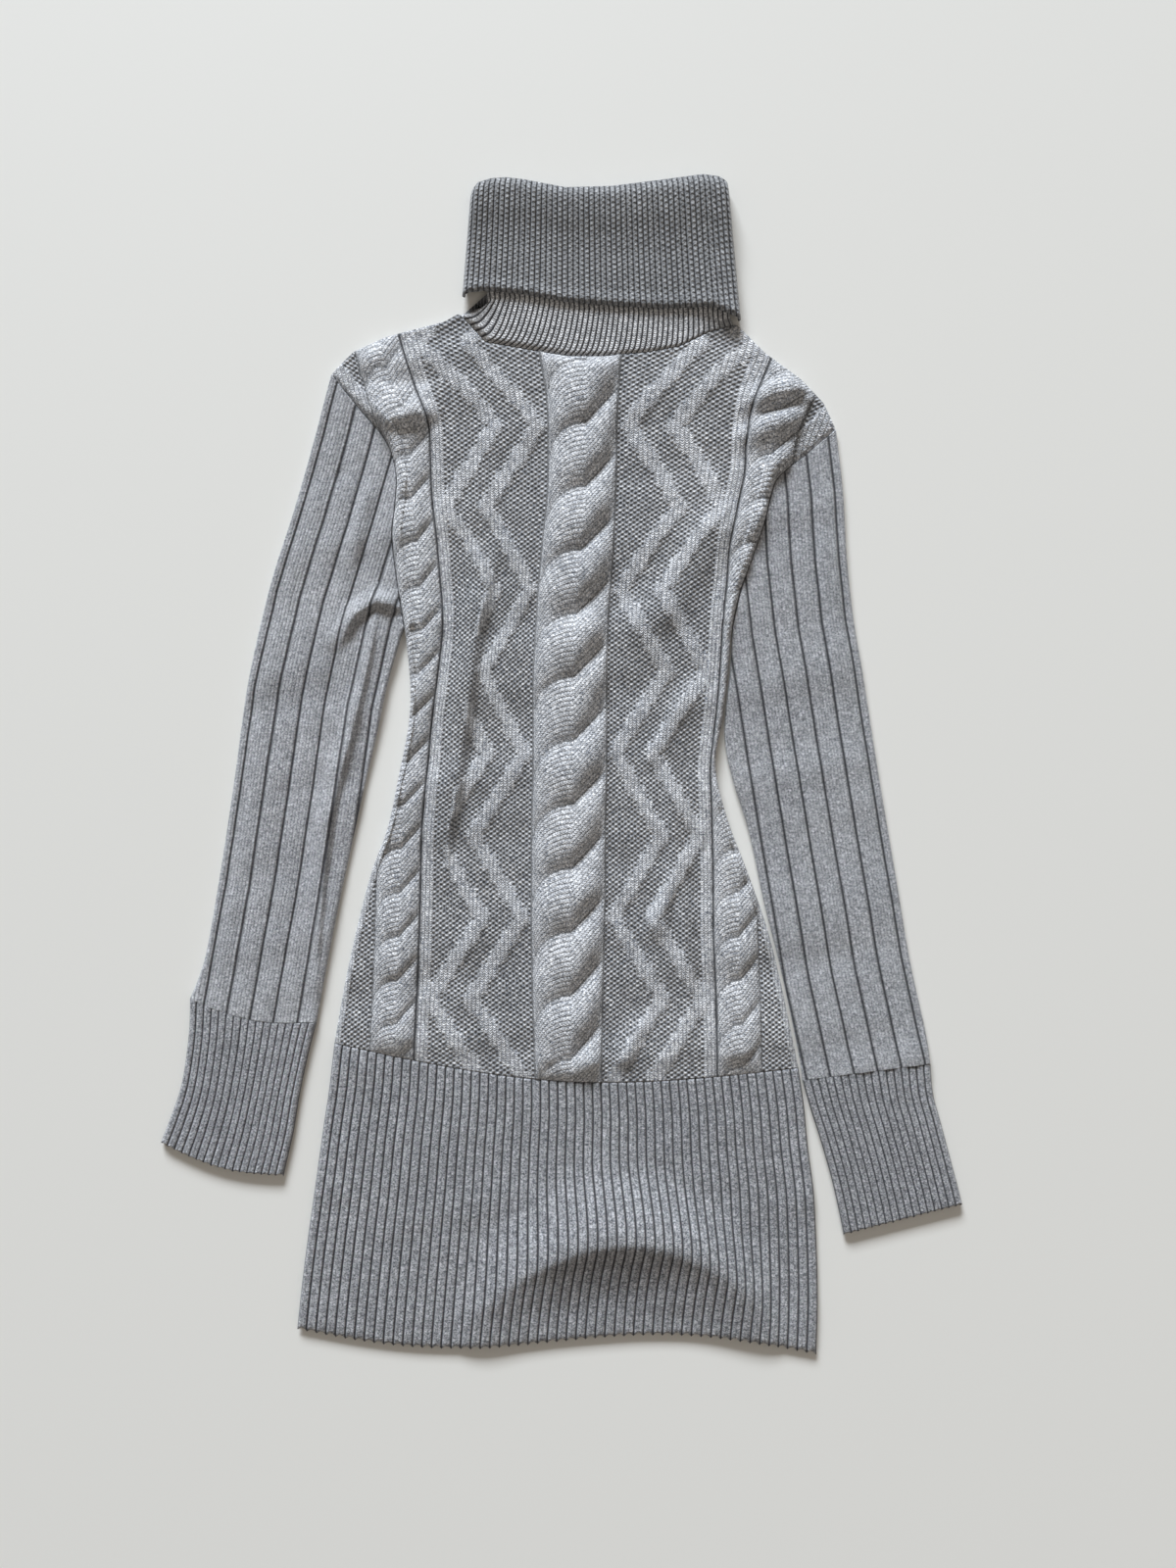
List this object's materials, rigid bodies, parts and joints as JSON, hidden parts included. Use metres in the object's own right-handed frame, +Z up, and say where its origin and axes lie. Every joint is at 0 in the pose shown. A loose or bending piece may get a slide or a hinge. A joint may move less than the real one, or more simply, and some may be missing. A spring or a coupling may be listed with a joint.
{
  "type": "cable knit sweater",
  "caption": "Long-sleeved cable knit tunic with a turned-down roll collar and deep ribbed hem, laid flat front up.",
  "frame": {"origin": "middle of the garment's footprint, on the surface it lies on", "axes": "+X to the wearer's left, +Y from the hem to the collar, +Z up off the surface"},
  "size_m": [0.582, 0.8528, 0.0177],
  "materials": {
    "cable_knit": "heathered blue-grey knit, reverse stockinette with raised cables and zigzags",
    "rib_knit": "heathered blue-grey 2x1 rib knit",
    "sleeve_knit": "heathered blue-grey jersey with wide flat ribs",
    "collar_knit": "darker slate-blue 1x1 rib knit"
  },
  "bodies": {
    "root": {"front_panel": "cable_knit", "back_panel": "cable_knit", "front_hem_rib": "rib_knit", "back_hem_rib": "rib_knit", "right_sleeve": "sleeve_knit", "left_sleeve": "sleeve_knit", "right_cuff": "rib_knit", "left_cuff": "rib_knit", "collar": "collar_knit"}
  },
  "joints": []
}
